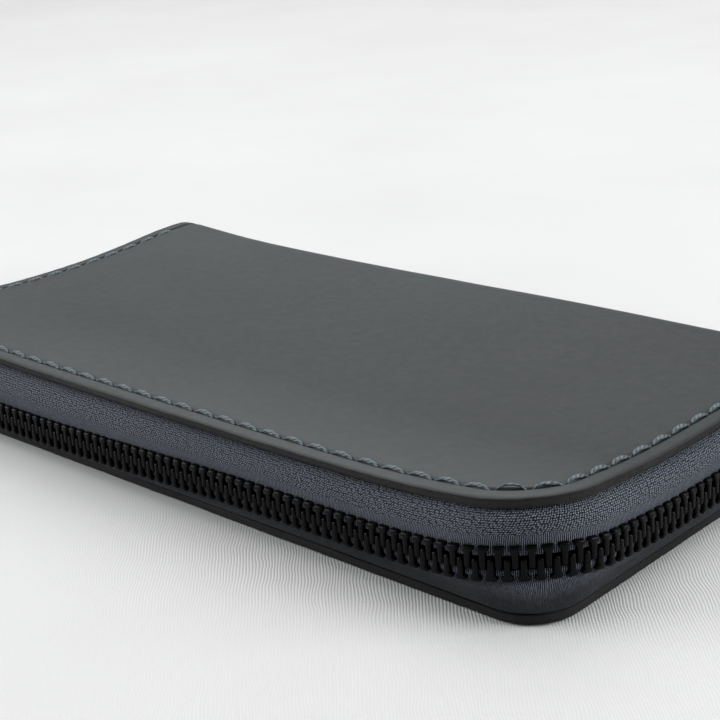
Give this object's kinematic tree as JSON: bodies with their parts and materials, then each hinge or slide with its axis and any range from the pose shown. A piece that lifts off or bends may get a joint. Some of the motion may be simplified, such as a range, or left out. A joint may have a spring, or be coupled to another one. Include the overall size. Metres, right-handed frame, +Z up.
{
  "type": "long wallet",
  "caption": "Zip-around long wallet in smooth leather with saddle stitching, card pockets and a zipped coin purse between its two halves.",
  "frame": {"origin": "centre of the lower cover's outer face, on the surface that the wallet lies on", "axes": "+X along the spine towards the end where the closed zip's slider stands, +Y towards the spine, +Z up through the closed wallet"},
  "size_m": [0.1979, 0.1021, 0.019],
  "materials": {
    "cover_leather": "smooth, waxed, soft sheen",
    "thread": "waxed thread",
    "zip_tape": "woven tape",
    "zip_teeth": "moulded, glossy black",
    "pull_metal": "glossy black",
    "inner_leather": "smooth, matt",
    "lining": "fine twill lining",
    "board": "fibre board"
  },
  "bodies": {
    "lower": {"cover_lower": "cover_leather", "spine_lower": "cover_leather", "stitching_lower": "thread", "zip_tape_lower": "zip_tape", "zip_teeth_lower": "zip_teeth", "zip_teeth_lower_run": "zip_teeth", "zip_top_stop_lower": "zip_teeth", "stiffener_lower": "board", "panel_lower": "inner_leather", "card_pocket_lower_1": "inner_leather", "card_pocket_lower_2": "inner_leather", "card_pocket_lower_3": "inner_leather", "card_pocket_lower_4": "inner_leather", "gusset_left_lower": "lining", "gusset_right_lower": "lining", "zip_bottom_stop": "zip_teeth"},
    "upper": {"cover_upper": "cover_leather", "spine_upper": "cover_leather", "stitching_upper": "thread", "zip_tape_upper": "zip_tape", "zip_teeth_upper": "zip_teeth", "zip_teeth_upper_run": "zip_teeth", "zip_top_stop_upper": "zip_teeth", "stiffener_upper": "board", "panel_upper": "inner_leather", "card_pocket_upper_1": "inner_leather", "card_pocket_upper_2": "inner_leather", "card_pocket_upper_3": "inner_leather", "card_pocket_upper_4": "inner_leather", "gusset_left_upper": "lining", "gusset_right_upper": "lining"},
    "purse": {"purse_wall_lower": "lining", "purse_wall_upper": "lining", "purse_bottom": "lining", "purse_side_left": "lining", "purse_side_right": "lining", "coin_tape_lower": "zip_tape", "coin_tape_upper": "zip_tape", "coin_teeth_lower": "zip_teeth", "coin_teeth_upper": "zip_teeth", "coin_stops": "zip_teeth"},
    "zip_slider": {"zip_slider_body": "pull_metal", "zip_slider_bridge": "pull_metal"},
    "zip_pull": {"zip_pull": "pull_metal"},
    "coin_slider": {"coin_slider_body": "pull_metal", "coin_slider_bridge": "pull_metal"},
    "coin_pull": {"coin_pull": "pull_metal"}
  },
  "joints": [
    {"name": "purse_opens", "type": "hinge", "parent": "lower", "child": "purse", "pos_m": [0, 0.05, 0.0095], "axis": [-1, 0, 0], "range_deg": [0, 35], "deforming": ["gusset_left_lower", "gusset_right_lower"]},
    {"name": "cover_opens", "type": "hinge", "parent": "purse", "child": "upper", "pos_m": [0, 0.05, 0.0095], "axis": [-1, 0, 0], "range_deg": [0, 35], "deforming": ["gusset_left_upper", "gusset_right_upper", "zip_teeth_upper_run"]},
    {"name": "zip_slides", "type": "slide", "parent": "lower", "child": "zip_slider", "axis": [0, -1, 0], "range_m": [0, 0.05], "deforming": ["zip_teeth_lower_run"]},
    {"name": "zip_pull_turns", "type": "hinge", "parent": "zip_slider", "child": "zip_pull", "pos_m": [0.0989, 0.033, 0.008], "axis": [0, 0, 1], "range_deg": [0, 165]},
    {"name": "coin_zip_slides", "type": "slide", "parent": "purse", "child": "coin_slider", "axis": [-1, 0, 0], "range_m": [0, 0.136], "deforming": ["coin_teeth_lower", "coin_teeth_upper"]},
    {"name": "coin_pull_turns", "type": "hinge", "parent": "coin_slider", "child": "coin_pull", "pos_m": [0.0684, -0.03429, 0.0095], "axis": [0, 0, 1], "range_deg": [0, 165]}
  ],
  "couplings": [
    {"joint": "purse_opens", "follows": "cover_opens", "ratio": 1}
  ]
}
